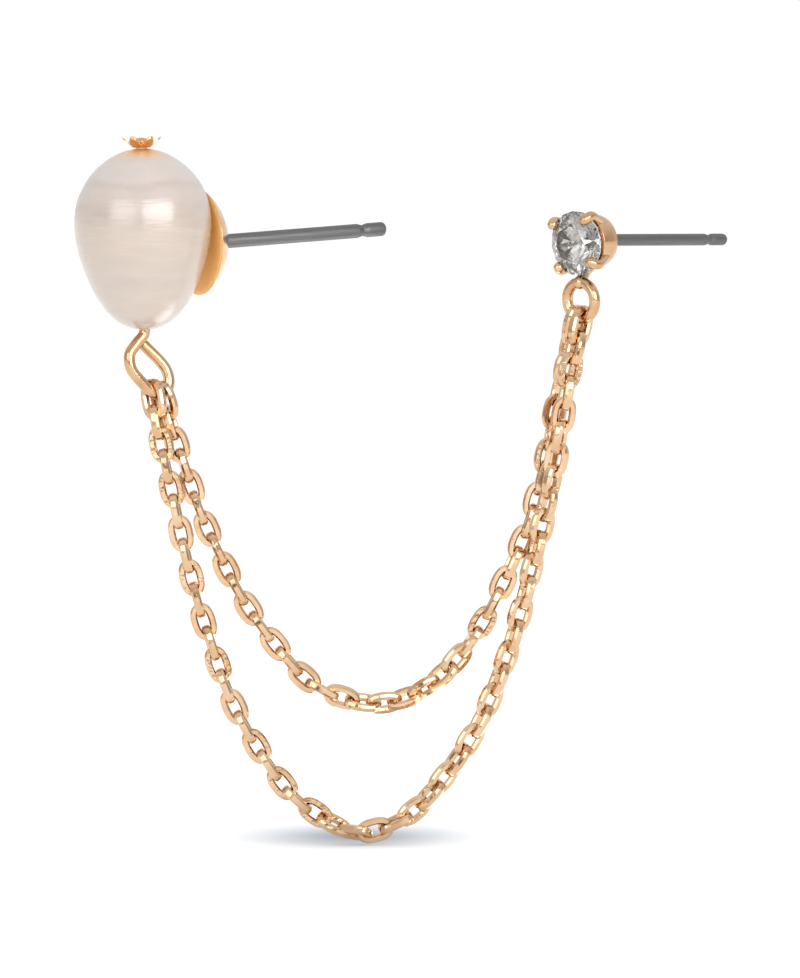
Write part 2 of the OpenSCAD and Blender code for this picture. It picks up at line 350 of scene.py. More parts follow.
def new_material(name, values):
    """A new material and its tree, its shader with the values given, and the piece's own
    coordinates in millimetres."""
    material = bpy.data.materials.new(name)
    material.use_nodes = True
    tree = material.node_tree
    tree.nodes.clear()
    shader = add(tree, "ShaderNodeBsdfPrincipled", values)
    add(tree, "ShaderNodeOutputMaterial", {"Surface": shader.outputs["BSDF"]})
    place = add(tree, "ShaderNodeTexCoord")
    scaled = {0: place.outputs["Object"], "Scale": 1 / MM}
    in_mm = add(tree, "ShaderNodeVectorMath", scaled, operation="SCALE")
    return material, tree, shader, in_mm.outputs["Vector"]


print("mid grey #808080 is", round(colour("#808080")[0], 3), "in linear light")

# %% [markdown]
# Nacre is what a pearl is made of: thousands of thin layers of clear crystal, each about half a
# micron thick, laid down by the shell. Its colour is cream, pinker towards the top, and it drifts
# slowly in the bands in which the pearl grew. A noise squashed flat gives such bands. It also bends
# the tones that go by height, so that none of them is a ruled line. The tones by height are lighter
# above than below. This is partly the nacre's own colour and partly painted shade on the lower part,
# which the light table lights from below. A darker ring above the gloss is a painted reflection.
# Round the drill hole a painted reflection of the star's gold warms the nacre.


# %% Tone of the nacre
# Noise 3.6 mm across and 1.2 mm high
DRIFT = (0.28, 0.28, 0.85)
DRIFT_TONES = [(0.3, "#b8a799"), (0.5, "#c0b0a3"), (0.7, "#b2a299")]
# Tones by height, from the lower end to the upper: darker below, partly as painted shade, and a
# darker ring above the gloss that is a painted reflection
HEIGHT_TONES_WITH_PAINTED_LIGHT = [
    (0.0, "#b5a799"),
    (0.3, "#b5a79c"),
    (0.45, "#b6a798"),
    (0.58, "#b6a699"),
    (0.75, "#c2b6b0"),
    (0.785, "#b5a8a3"),
    (0.82, "#c4bab7"),
    (1.0, "#c3b9b7"),
]
BAND_LOW = -4.55
BAND_HIGH = 6.45
BAND_BEND = 0.9
BAND_SHARE = 0.55
# The painted reflection of the star's gold is full this near the drill hole's upper end, and gone
# this far from it
PAINTED_STAR_REFLECTION = "#dc9f5c"
PAINTED_STAR_REFLECTION_NEAR = 0.9
PAINTED_STAR_REFLECTION_FAR = 2.7
PAINTED_STAR_REFLECTION_SHARE = 0.85


def nacre_tone(tree, at):
    """tone = mix(drift, band(height + bend x drift), share), where the tones by height hold painted
    shade and a painted reflection. It is then mixed with a painted reflection of the star's gold, by
    a share that falls smoothly from the near distance to the far one."""
    flat = add(tree, "ShaderNodeMapping", {"Vector": at, "Scale": DRIFT})
    noise = {"Vector": flat.outputs["Vector"], "Scale": 1.0, "Detail": 2.0, "Roughness": 0.45}
    drift = add(tree, "ShaderNodeTexNoise", noise).outputs["Fac"]
    body = add(tree, "ShaderNodeValToRGB", {"Fac": drift}, stops=DRIFT_TONES)
    height = add(tree, "ShaderNodeSeparateXYZ", {"Vector": at}).outputs["Z"]
    bent = add(
        tree, "ShaderNodeMath", {0: drift, 1: BAND_BEND, 2: height}, operation="MULTIPLY_ADD"
    )
    up = add(
        tree,
        "ShaderNodeMapRange",
        {"Value": bent.outputs["Value"], "From Min": BAND_LOW, "From Max": BAND_HIGH},
    )
    # Tones by height: darker below, partly as painted shade, and a darker ring above the gloss as a
    # painted reflection
    height_tone_with_painted_light = add(tree, "ShaderNodeValToRGB", {"Fac": up.outputs["Result"]}, stops=HEIGHT_TONES_WITH_PAINTED_LIGHT)
    layers = {"Factor": BAND_SHARE, "A": body.outputs["Color"], "B": height_tone_with_painted_light.outputs["Color"]}
    mixed = add(tree, "ShaderNodeMix", layers, data_type="RGBA")
    hole_top = tuple(in_pearl(np.array([0, 0, PEARL_H / 2])).tolist())
    # A painted reflection of the star's gold, strongest at the drill hole's upper end
    to_star = add(tree, "ShaderNodeVectorMath", {0: at, 1: hole_top}, operation="DISTANCE")
    star_reflection_share = add(
        tree,
        "ShaderNodeMapRange",
        {
            "Value": to_star.outputs["Value"],
            "From Min": PAINTED_STAR_REFLECTION_FAR,
            "From Max": PAINTED_STAR_REFLECTION_NEAR,
            "To Max": PAINTED_STAR_REFLECTION_SHARE,
        },
        interpolation_type="SMOOTHSTEP",
    )
    tones = {
        "Factor": star_reflection_share.outputs["Result"],
        "A": mixed.outputs["Result"],
        "B": colour(PAINTED_STAR_REFLECTION),
    }
    return add(tree, "ShaderNodeMix", tones, data_type="RGBA").outputs["Result"]


print("the nacre has", len(HEIGHT_TONES_WITH_PAINTED_LIGHT), "tones by height")

# %% [markdown]
# Light goes a little way into nacre and comes back soft. The layers together also mirror more
# than one clear surface would, so the gloss is stronger than that of plastic. At the surface the
# layers end in tiny steps that run round the pearl. They bend the gloss, so the image of a lamp
# has streaked edges.


# %% Nacre
def make_nacre():
    """Soft light from about a millimetre inside, under a strong gloss that the steps bend. They
    are 0.23 mm apart here, and finer on a real pearl, where they would not show."""
    values = {
        "Roughness": 0.34,
        "IOR": 1.66,
        "Subsurface Weight": 0.35,
        "Subsurface Radius": (1.2, 0.9, 0.7),
        "Subsurface Scale": MM,
        "Coat Weight": 0.85,
        "Coat Roughness": 0.22,
        "Coat IOR": 1.9,
    }
    material, tree, shader, at = new_material("nacre", values)
    flat = add(tree, "ShaderNodeMapping", {"Vector": at, "Scale": (0.2, 0.2, 2.2)})
    noise = {"Vector": flat.outputs["Vector"], "Scale": 2.0, "Detail": 3.0, "Roughness": 0.5}
    steps = add(tree, "ShaderNodeTexNoise", noise)
    bump = add(
        tree,
        "ShaderNodeBump",
        {"Height": steps.outputs["Fac"], "Strength": 0.6, "Distance": 0.05 * MM},
    )
    tree.links.new(nacre_tone(tree, at), shader.inputs["Base Color"])
    tree.links.new(bump.outputs["Normal"], shader.inputs["Normal"])
    tree.links.new(bump.outputs["Normal"], shader.inputs["Coat Normal"])
    return material


nacre = make_nacre()
print("made", nacre.name)

# %% [markdown]
# All the gold is brass that was polished and then plated with a thin layer of rose-tinted gold. Its
# colour is only in what it mirrors, so it needs a full metallic value, a pale orange reflectance and
# a bright room. Polish is never perfect, and faint waviness bends what the metal mirrors. Each kind
# of part takes the plate a little differently: the wire and the cast setting are the rosiest, and the
# chain is a shade yellower. The star and the cup, stamped from sheet, get the brightest copy of the
# plate. That is partly their own paler plate and partly painted light that lifts them.


# %% Gold plate
def make_gold(name, bright, deep, roughness, waviness):
    """Polished plate: colour drifts between two shades over about 1.5 mm, and fine waviness
    0.3 mm across bends what it mirrors."""
    values = {"Metallic": 1.0, "Roughness": roughness}
    material, tree, shader, at = new_material(name, values)
    drift = add(tree, "ShaderNodeTexNoise", {"Vector": at, "Scale": 0.65, "Detail": 2.0})
    tones = [(0.35, deep), (0.65, bright)]
    tone = add(tree, "ShaderNodeValToRGB", {"Fac": drift.outputs["Fac"]}, stops=tones)
    ripple = {"Vector": at, "Scale": 3.3, "Detail": 2.0, "Roughness": 0.4}
    waves = add(tree, "ShaderNodeTexNoise", ripple)
    bump = add(
        tree,
        "ShaderNodeBump",
        {"Height": waves.outputs["Fac"], "Strength": waviness, "Distance": 0.05 * MM},
    )
    tree.links.new(tone.outputs["Color"], shader.inputs["Base Color"])
    tree.links.new(bump.outputs["Normal"], shader.inputs["Normal"])
    return material


rose_gold = make_gold("rose_gold_plate", "#d5b38e", "#c99d75", 0.15, 0.25)
chain_gold = make_gold("chain_gold_plate", "#dfc09f", "#d2ac86", 0.14, 0.3)
# The star's and cup's plate is a brighter copy, partly painted light that lifts them
stamped_gold_painted_brighter = make_gold("stamped_gold_plate_painted_brighter", "#f9dab2", "#efc18f", 0.17, 0.2)
print("made", rose_gold.name, chain_gold.name, "and", stamped_gold_painted_brighter.name)

# %% [markdown]
# A polishing wheel can't reach into the pearl's cup. Its hollow keeps a satin plate, etched by
# the cleaning bath, and a thin film of yellow glue lies over it. So it scatters light instead of
# mirroring it, and it looks a deeper orange than the polished rim. Light also bounces to and fro
# between nacre and gold in that narrow gap, more often than the render follows it, and a faint
# glow stands in for that.


# %% Satin plate in the cup's hollow
def make_satin_gold_painted_glow():
    """Satin plate under glue: mostly scattered orange light, with grain 0.2 mm across, and a faint
    painted glow for the light that bounces in the gap.
    """
    values = {
        "Metallic": 0.1,
        "Roughness": 0.5,
        # A painted glow for the light that bounces in the gap
        "Emission Color": colour("#dda456"),
        "Emission Strength": 0.22,
    }
    material, tree, shader, at = new_material("satin_gold_plate_painted_glow", values)
    grain = add(tree, "ShaderNodeTexNoise", {"Vector": at, "Scale": 5.0, "Detail": 2.0})
    tones = [(0.35, "#edb870"), (0.65, "#f5c482")]
    tone = add(tree, "ShaderNodeValToRGB", {"Fac": grain.outputs["Fac"]}, stops=tones)
    bump = add(
        tree,
        "ShaderNodeBump",
        {"Height": grain.outputs["Fac"], "Strength": 0.2, "Distance": 0.02 * MM},
    )
    tree.links.new(tone.outputs["Color"], shader.inputs["Base Color"])
    tree.links.new(bump.outputs["Normal"], shader.inputs["Normal"])
    return material


satin_gold_painted_glow = make_satin_gold_painted_glow()
print("made", satin_gold_painted_glow.name)

# %% [markdown]
# The ear posts are steel wire, pulled through a die to its thickness. Drawing leaves hair-fine
# lines along the wire, which blur reflections across it, so a post looks like one soft dark bar
# with a lighter stripe. The two posts lie on different axes, so each has its own turn in a
# Mapping node.


# %% Drawn steel wire
def make_drawn_steel(name, turn):
    """Satin drawn steel: lines 0.06 mm apart round the wire and 4 mm long. Real ones are finer
    still and would not show."""
    values = {"Metallic": 1.0, "Roughness": 0.44}
    material, tree, shader, at = new_material(name, values)
    along_y = {"Vector": at, "Rotation": (0.0, 0.0, math.radians(turn))}
    laid = add(tree, "ShaderNodeMapping", along_y)
    drawn_out = {"Vector": laid.outputs["Vector"], "Scale": (16.0, 0.25, 16.0)}
    drawn = add(tree, "ShaderNodeMapping", drawn_out)
    noise = {"Vector": drawn.outputs["Vector"], "Scale": 1.0, "Detail": 3.0}
    lines = add(tree, "ShaderNodeTexNoise", noise)
    tones = [(0.3, "#686868"), (0.7, "#7a7a7a")]
    tone = add(tree, "ShaderNodeValToRGB", {"Fac": lines.outputs["Fac"]}, stops=tones)
    bump = add(
        tree,
        "ShaderNodeBump",
        {"Height": lines.outputs["Fac"], "Strength": 0.2, "Distance": 0.02 * MM},
    )
    tree.links.new(tone.outputs["Color"], shader.inputs["Base Color"])
    tree.links.new(bump.outputs["Normal"], shader.inputs["Normal"])
    return material


HEAD_TURN = 42
pearl_steel = make_drawn_steel("drawn_steel_pearl_post", CUP_TURN)
crystal_steel = make_drawn_steel("drawn_steel_crystal_post", HEAD_TURN)
print("made", pearl_steel.name, "and", crystal_steel.name)

# %% [markdown]
# The crystal is cut lead glass with silver foil on its back, as costume jewellery has. What
# enters the crown is thrown back by the foil and leaves through another facet. That gives the
# mosaic of silver greys and darker patches, and no gold shows through from behind. Such glass has
# an index of about 1.7. The photographed one sparkles more than that gives, so its index is
# matched at 2.15.


# %% Cut lead glass and its foil
def make_lead_glass():
    """Clear glass, index 2.15, with a trace of grey that drifts over 0.5 mm."""
    values = {"Roughness": 0.02, "IOR": 2.15, "Transmission Weight": 1.0}
    material, tree, shader, at = new_material("cut_lead_glass", values)
    drift = add(tree, "ShaderNodeTexNoise", {"Vector": at, "Scale": 2.0, "Detail": 1.0})
    tints = [(0.3, "#f5f6f7"), (0.7, "#faf9f8")]
    tint = add(tree, "ShaderNodeValToRGB", {"Fac": drift.outputs["Fac"]}, stops=tints)
    tree.links.new(tint.outputs["Color"], shader.inputs["Base Color"])
    return material


def make_foil():
    """Silver foil, bright, with a slightly uneven tone 0.4 mm across."""
    values = {"Metallic": 1.0, "Roughness": 0.08}
    material, tree, shader, at = new_material("silver_foil", values)
    drift = add(tree, "ShaderNodeTexNoise", {"Vector": at, "Scale": 2.5, "Detail": 1.0})
    tones = [(0.35, "#bebdbb"), (0.65, "#d6d4d1")]
    tone = add(tree, "ShaderNodeValToRGB", {"Fac": drift.outputs["Fac"]}, stops=tones)
    tree.links.new(tone.outputs["Color"], shader.inputs["Base Color"])
    return material


lead_glass = make_lead_glass()
foil = make_foil()
print("made", lead_glass.name, "and", foil.name)

# %% [markdown]
# The pearl is egg-shaped, wider above. Its outline could be drawn by hand, but a formula keeps it
# smooth and can be used twice: a sine curve whose upper half is fuller. The cup behind the pearl
# is filed to the same outline, a gap larger.

# %% Outline of the pearl
PEARL_W = 8.5
EGG_FULL = 0.2
EGG_FADE = 0.16


def egg(t, gap=0.0):
    """Radius and height of the egg's outline at angle t from its top. The radius follows
    sin t (1 + full cos t - fade cos^3 t), scaled so that its widest place is the pearl's."""

    def bulge(a):
        return np.sin(a) * (1 + EGG_FULL * np.cos(a) - EGG_FADE * np.cos(a) ** 3)

    widest = bulge(np.linspace(0, np.pi, 721)).max()
    radius = PEARL_W / 2 * bulge(t) / widest + gap * np.sin(t)
    return np.stack([radius, (PEARL_H / 2 + gap) * np.cos(t)], -1)


print("halfway down, the outline's radius is", round(float(egg(np.pi / 2)[0]), 2), "mm")

# %% [markdown]
# The pearl is drilled from end to end for its wire. Freshwater pearls grow in bands, so shallow
# grooves run part of the way round, and they split the highlight into stripes. The hole and the
# grooves are in the grid itself, which keeps them in every export.

# %% Pearl body
PEARL_GAP = 0.05
EYE_WIRE = 0.7
bore_r = EYE_WIRE / 2 + PEARL_GAP

# The CAD model's facets cut a few thousandths of a millimetre inside its true curves, and a
# finished piece may not stand out of it
SKIN = 0.008

# Growth grooves: height above the pearl's middle, depth and width in mm
GROOVES = [
    (4.0, 0.012, 0.3),
    (3.35, 0.036, 0.28),
    (2.8, 0.018, 0.16),
    (2.25, 0.006, 0.1),
    (0.95, 0.014, 0.18),
    (0.55, 0.01, 0.12),
    (0.2, 0.011, 0.12),
    (-0.15, 0.01, 0.12),
    (-0.6, 0.01, 0.16),
    (-1.3, 0.01, 0.24),
    (-2.4, 0.012, 0.3),
]


def pearl_points(rows=260, sides=192):
    """The egg from the top of the drill hole to the bottom, then back up through the hole. Each
    groove takes depth e^(-(distance / width)^2) off the radius, and fades round the pearl."""
    fine = np.linspace(0, np.pi, 4001)
    reach = egg(fine)[:, 0]
    half = len(fine) // 2
    start = np.interp(bore_r, reach[:half], fine[:half])
    end = np.pi - np.interp(bore_r, reach[::-1][:half], fine[:half])
    outline = egg(np.linspace(start, end, rows))
    a = np.linspace(0, 2 * np.pi, sides, endpoint=False)
    r, z = outline[:, :1], outline[:, 1:]
    taken = np.zeros((rows, sides))
    for turn, (height, depth, width) in enumerate(GROOVES):
        fade = (0.6 + 0.4 * np.cos(a + 0.9 * turn + math.pi / 2)) ** 2
        wander = 0.1 * np.sin(a + 2.3 * turn)
        taken += depth * np.exp(-(((z - height - wander) / width) ** 2)) * fade
    radius = np.maximum(r - SKIN - taken, bore_r)
    skin = np.stack([radius * np.cos(a), radius * np.sin(a), z + 0 * a], -1)
    climb = np.linspace(outline[-1, 1], outline[0, 1], 8)[1:-1, None]
    level = 0 * climb
    hole = np.stack([bore_r * np.cos(a) + level, bore_r * np.sin(a) + level, climb + 0 * a], -1)
    points = np.vstack([skin, hole])
    return points.reshape(-1, 3), grid_faces(len(points), sides, rows_close=True)


points, faces = pearl_points()
pearl = shape("pearl_body", in_pearl(points), faces)
print("the pearl's grid has", len(faces), "faces")

# %% [markdown]
# The cup's peg is glued into a second hole, which is blind. It is drilled from behind, along the
# cup's axis, so a cylinder on that axis cuts it with a Boolean.

# %% Blind hole
PEG_R = 0.5
PEG_L = 1.8
peg_start = CUP_BACK - PEARL_W / 2
hole_end = -peg_start - PEG_L - PEARL_GAP
hole_r = PEG_R + PEARL_GAP
points, faces = turned([[0, hole_end], [hole_r, hole_end], [hole_r, 1], [0, 1]], sides=48)
drill = shape("drill", on_axis(points, CUP_SEAT, CUP_TURN, 0), faces)
pearl = finished(worked(pearl, drill, "DIFFERENCE"), nacre, "pearl", sharp=50)

# %% [markdown]
# A small stamped star covers the upper end of the drill hole, and its petals flare up. It is one
# sheet: a grid runs out over the top to the petals' edge and comes back underneath. The outline
# swings between a valley and a tip as |cos|, which gives petals with softly rounded tips and
# sharp notches between them. Two petals are seen from their side, where only the thickness of
# the sheet shows.

# %% Star cap
STAR_W = 2.4
PETALS = 6
STAR_T = 0.14
STAR_FOOT_R = 0.55
STAR_RISE = 0.55
# A valley's reach as a share of a tip's
STAR_VALLEY = 0.55
# How far the punched edge leans in over its own height
STAR_SLANT = 0.006


def star_points(sides=144, rings=14):
    """Reach = valley + (tip - valley) |cos(petals a / 2)|. Underneath, the sheet is flat to
    the foot and then climbs to the rise at the tips, as (distance from the foot)^1.1. The top
    lies one thickness above, a tenth less at the edge. The punch leaves the edge slanted, so it
    mirrors the room's dark side and not the light table."""
    a = np.linspace(0, 2 * np.pi, sides, endpoint=False)
    tip = STAR_W / 2
    valley = tip * STAR_VALLEY
    reach = valley + (tip - valley) * np.abs(np.cos(PETALS * a / 2))
    out = np.linspace(0, 1, rings)[:, None]
    r = bore_r + (reach - bore_r) * out
    under = STAR_RISE * np.clip((r - STAR_FOOT_R) / (tip - STAR_FOOT_R), 0, None) ** 1.1
    edge = np.sqrt(np.clip(1 - out**8, 0.8, 1))
    top_r = r - STAR_SLANT * out**8
    top = np.stack([top_r * np.cos(a), top_r * np.sin(a), under + STAR_T * edge], -1)
    below = np.stack([r * np.cos(a), r * np.sin(a), under + 0 * a], -1)[::-1]
    points = np.vstack([top, below])
    return points.reshape(-1, 3), grid_faces(len(points), sides, rows_close=True)


star_foot_z = PEARL_H / 2 + PEARL_GAP
points, faces = star_points()
star = shape("star_cap_petals", in_pearl(points + [0, 0, star_foot_z]), faces)
star = finished(star, stamped_gold_painted_brighter, "star_cap", sharp=50)

# %% [markdown]
# One wire holds the drop together. Its round head rests on the star, it runs down through the
# pearl, and below it is bent with pliers into an open eye. The bends are a smooth curve through
# a few points, the Catmull-Rom curve, which passes through each of them.


# %% Eye pin
def smooth_route(route, steps):
    """A smooth curve through the points. Between b and c, with neighbours a and d, it is
    (2b + (c-a)t + (2a-5b+4c-d)t^2 + (3b-a-3c+d)t^3) / 2."""
    p = np.asarray(route, float)
    p = np.vstack([2 * p[0] - p[1], p, 2 * p[-1] - p[-2]])
    a, b, c, d = (p[i : len(p) - 3 + i][:, None] for i in range(4))
    t = np.linspace(0, 1, steps, endpoint=False)[None, :, None]
    curve = 2 * b + (c - a) * t + (2 * a - 5 * b + 4 * c - d) * t**2
    curve = (curve + (3 * b - a - 3 * c + d) * t**3) / 2
    return np.vstack([curve.reshape(-1, p.shape[1]), p[-2:-1]])


# Height above the shaft's top, and share of the wire's radius
PIN_HEAD = np.array(
    [
        (0.4, 0.0),
        (0.395, 0.35),
        (0.36, 0.75),
        (0.3, 1.02),
        (0.22, 1.18),
        (0.12, 1.24),
        (0.04, 1.15),
        (0.0, 1.0),
    ]
)
# Distance past the wire's end, and share of its radius
PIN_END = np.array([(0.07, 0.92), (0.1, 0.75), (0.11, 0.0)])
HEAD_GAP = 0.03
STAR_FOOT_T = 1.3 * STAR_T

# The wire below the pearl, from the pearl's lower end
EYE_ROUTE = [
    (0, 0, 1.2),
    (0, 0, 0.3),
    (-0.08, -0.03, -0.3),
    (-0.55, -0.3, -0.85),
    (-0.95, -0.55, -1.5),
    (-0.88, -0.6, -2.35),
    (-0.35, -0.42, -3.1),
    (0.25, -0.15, -3.72),
    (0.82, 0.2, -4.05),
    (1.27, 0.5, -3.82),
    (1.42, 0.68, -3.2),
    (1.24, 0.74, -2.5),
    (0.85, 0.7, -1.95),
    (0.35, 0.64, -1.42),
    (-0.15, 0.62, -0.9),
]


def pin_points():
    """Head, shaft and eye as one swept wire, with the free end rounded by the last rows."""
    shaft_top = PEARL_H + PEARL_GAP + STAR_FOOT_T + HEAD_GAP
    head = np.zeros((len(PIN_HEAD), 3))
    head[:, 2] = shaft_top + PIN_HEAD[:, 0]
    eye = smooth_route(EYE_ROUTE, 8)
    ahead = unit(eye[-1] - eye[-2])
    end = eye[-1] + PIN_END[:, :1] * ahead
    path = np.vstack([head, eye, end])
    shares = np.concatenate([PIN_HEAD[:, 1], np.ones(len(eye)), PIN_END[:, 1]])
    return swept(path, EYE_WIRE / 2 * shares, (0, 1, 0))


points, faces = pin_points()
pin = shape("eye_pin_wire", in_pearl(points - [0, 0, PEARL_H / 2]), faces)
pin = finished(pin, rose_gold, "eye_pin", sharp=50)

# %% [markdown]
# A shallow gold cup holds the pearl from behind. It is a domed bowl with a thin rim, so one closed
# profile turned about the cup's own axis makes it. Both studs hold their posts in the same way, in
# a blind, slightly tapered socket.

# %% Bowl and socket
CUP_R = 4.2
CUP_DEPTH = 1.6
CUP_RIM = 0.3
CUP_FLOOR = 1.15
EDGE = 0.05
rim_r = math.sqrt(CUP_R**2 - (CUP_R - CUP_DEPTH) ** 2)
mouth_r = rim_r - CUP_RIM
hollow_depth = CUP_DEPTH - CUP_FLOOR
hollow_r = (mouth_r**2 + hollow_depth**2) / (2 * hollow_depth)

# Sizes of a post's spigot and socket
SPIGOT_L = 0.6
CRYSTAL_SPIGOT_L = 0.3
SPIGOT_IN = 0.08
SOCKET_GAP = 0.03
SHOULDER_GAP = 0.05
# From the spigot's end to where the peg starts, inside the cup's floor
PEG_SKIN = 0.15


def arc(radius, middle, start, end, steps):
    """Points of (radius, height) on a circle whose middle is on the axis."""
    a = np.radians(np.linspace(start, end, steps))
    return np.stack([radius * np.sin(a), middle + radius * np.cos(a)], -1)


def bowl_profile():
    """The dome's back from its middle to the rim, then the hollow from the mouth to its floor.
    The rim's two corners are rounded."""
    dome = arc(CUP_R, -CUP_R, 0, math.degrees(math.asin(rim_r / CUP_R)), 40)
    hollow = arc(hollow_r, -CUP_FLOOR - hollow_r, math.degrees(math.asin(mouth_r / hollow_r)), 0, 24)
    rim = rounded([dome[-2], [rim_r, -CUP_DEPTH], [mouth_r, -CUP_DEPTH], hollow[1]], EDGE)
    return np.vstack([dome[:-2], rim, hollow[2:]])


def socket(d, length, turn, lift, seat):
    """The tapered blind hole for a post's spigot."""
    end_r = d / 2 - 2 * SPIGOT_IN + SOCKET_GAP
    low, high = -length - SOCKET_GAP, 2 * length - SOCKET_GAP
    profile = [[0, low], [end_r, low], [end_r + 3 * SPIGOT_IN, high], [0, high]]
    points, faces = turned(profile, sides=48)
    return shape("socket", on_axis(points, seat, turn, lift), faces)


print("the cup's rim is", round(2 * rim_r, 2), "mm across")

# %% [markdown]
# The pearl's form is cut out of the bowl, as the maker files the cup to its pearl, and so is the
# socket. The peg that is glued into the pearl is joined on. What faces the pearl inside the rim
# takes the satin plate.

# %% Pearl cup
PEARL_POST_D = 0.88
PEARL_POST_LIFT = 3
points, faces = turned(bowl_profile(), sides=160)
cup = shape("cup_bowl", on_axis(points, CUP_SEAT, CUP_TURN, 0), faces)
points, faces = turned(egg(np.linspace(0, np.pi, 120), PEARL_GAP), sides=160)
cup = worked(cup, shape("pearl_form", in_pearl(points), faces), "DIFFERENCE")
cup = worked(cup, socket(PEARL_POST_D, SPIGOT_L, CUP_TURN, PEARL_POST_LIFT, CUP_SEAT), "DIFFERENCE")
peg_top = -SPIGOT_L - PEG_SKIN
peg_end = -peg_start - PEG_L
peg_profile = rounded([[0, peg_end], [PEG_R, peg_end], [PEG_R, peg_top], [0, peg_top]], EDGE)
points, faces = turned(peg_profile, sides=48)
peg = shape("peg", on_axis(points, CUP_SEAT, CUP_TURN, 0), faces)
cup = finished(worked(cup, peg, "UNION"), stamped_gold_painted_brighter, "pearl_cup")
cup_axis = on_axis(np.array([[0, 0, 1.0]]), (0, 0, 0), CUP_TURN, 0)[0]
# A face looks towards the pearl when its normal leans more than this share against the axis
FACING = 0.05
middles = vectors_of(cup.data.polygons, "center") / MM
off_axis = np.linalg.norm(middles - np.outer(middles @ cup_axis, cup_axis), axis=1)
facing_pearl = vectors_of(cup.data.polygons, "normal") @ cup_axis < -FACING
second_finish(cup, satin_gold_painted_glow, facing_pearl & (off_axis < rim_r - EDGE))

# %% [markdown]
# The posts are turned parts: a spigot, a straight shaft, a V groove that the butterfly back snaps
# into, and a rounded tip that finds the way through the ear. One profile serves both.

# %% Posts
POST_L = 11.5
GROOVE_AT = 2
GROOVE_W = 0.7
GROOVE_IN = 0.1
TIP_L = 0.3
POST_EDGE = 0.03
CRYSTAL_POST_D = 0.74
CRYSTAL_POST_DROP = 1.4
CRYSTAL_SEAT = (23.6, 0, 0.1)


def post_profile(d, spigot_l):
    """Radius and height from the spigot's end to the tip. The tip is a quarter ellipse."""
    r = d / 2
    groove = POST_L - GROOVE_AT
    body = rounded(
        [
            [0, -spigot_l],
            [r - 2 * SPIGOT_IN, -spigot_l],
            [r - SPIGOT_IN, SHOULDER_GAP],
            [r, SHOULDER_GAP],
            [r, groove],
            [r - GROOVE_IN, groove + GROOVE_W / 2],
            [r, groove + GROOVE_W],
            [r, POST_L - SKIN - TIP_L],
        ],
        POST_EDGE,
    )
    a = np.linspace(0, np.pi / 2, 9)[1:]
    tip = np.stack([r * np.cos(a), POST_L - SKIN - TIP_L + TIP_L * np.sin(a)], -1)
    return np.vstack([body, tip])


def post(name, d, spigot_l, seat, turn, lift):
    """A post on its own axis."""
    points, faces = turned(post_profile(d, spigot_l), sides=64)
    return shape(name, on_axis(points, seat, turn, lift), faces)


pearl_post = post("pearl_post_wire", PEARL_POST_D, SPIGOT_L, CUP_SEAT, CUP_TURN, PEARL_POST_LIFT)
crystal_post = post(
    "crystal_post_wire",
    CRYSTAL_POST_D,
    CRYSTAL_SPIGOT_L,
    CRYSTAL_SEAT,
    HEAD_TURN,
    -CRYSTAL_POST_DROP,
)
pearl_post = finished(pearl_post, pearl_steel, "pearl_post")
crystal_post = finished(crystal_post, crystal_steel, "crystal_post")

# %% [markdown]
# The crystal sits in a basket: a small turned cup with four claws soldered to its wall, each
# bent over the stone's edge and finished as a round bead. The basket is a turned profile, and a
# claw is a swept wire. Both are worked out upright, about the head's own axis.

# %% Basket and claws
HEAD_DEPTH = 2.5
CLAW_D = 0.62
BASKET = [
    (0, 0),
    (0.85, 0),
    (1.3, -0.16),
    (1.58, -0.45),
    (1.7, -0.85),
    (1.7, -1.8),
    (1.4, -1.8),
    (1.4, -0.95),
    (1.1, -0.55),
    (0.9, -0.45),
    (0, -0.45),
]


def claw_points(angle):
    """One claw: a wire up from the wall, over a bend in front of the girdle, and in to the bead,
    which is a tenth thicker than the wire."""
    r = CLAW_D / 2
    foot, knee, tip = (1.55, 0, -1.3), (2.2, 0, -HEAD_DEPTH - 0.05), (1.88, 0, -HEAD_DEPTH - 0.44)
    path = rounded([foot, knee, tip], 0.35, steps=8)
    sizes = r * np.interp(np.arange(len(path)), [0, len(path) - 3, len(path) - 1], [1, 1.02, 1.1])
    path, sizes = round_ends(path, sizes)
    points, faces = swept(path, sizes, (0, 1, 0))
    return points @ about_z(angle).T, faces


print("a claw has", len(claw_points(0)[1]), "faces")

# %% [markdown]
# A ring is soldered under the basket by a short neck, and both chains hang from it. The ring is a
# circle turned about the ring's own axis. The neck is a straight wire, thicker at both ends, as
# solder is where it flows.

# %% Ring and its neck
RING_R = 1.12
RING_WIRE = 0.68
RING_DROP = 3.56
RING_Z = 0.25 - HEAD_DEPTH
NECK_Z = -1.5
NECK_FOOT = 1.55


def ring_points(sides=72, around=24):
    """A ring of round wire: a circle of the wire's radius turned about the ring's own axis."""
    a = np.linspace(0, 2 * np.pi, around, endpoint=False)
    section = np.stack([RING_R + RING_WIRE / 2 * np.cos(a), RING_WIRE / 2 * np.sin(a)], -1)
    points, faces = turned(section, sides, closed=True)
    return points + [0, RING_DROP, RING_Z], faces


def neck_points():
    """The solder neck from the basket's wall to the ring, flared at both ends."""
    foot = np.array([0, NECK_FOOT, NECK_Z])
    top = np.array([0, RING_DROP - RING_R, RING_Z])
    t = np.linspace(0, 1, 9)
    path = foot + t[:, None] * (top - foot)
    sizes = RING_WIRE / 2 * (1 + 0.3 * (2 * t - 1) ** 2)
    return swept(*round_ends(path, sizes), (1, 0, 0))


print("the ring's middle is", RING_DROP, "mm under the head's axis")

# %% [markdown]
# Basket, claws, neck and ring are one piece of metal once they are soldered, so they are joined
# with a Boolean. Then the stone's own room is cut out, as the setter cuts a seat with a bur, and
# the socket for the post.

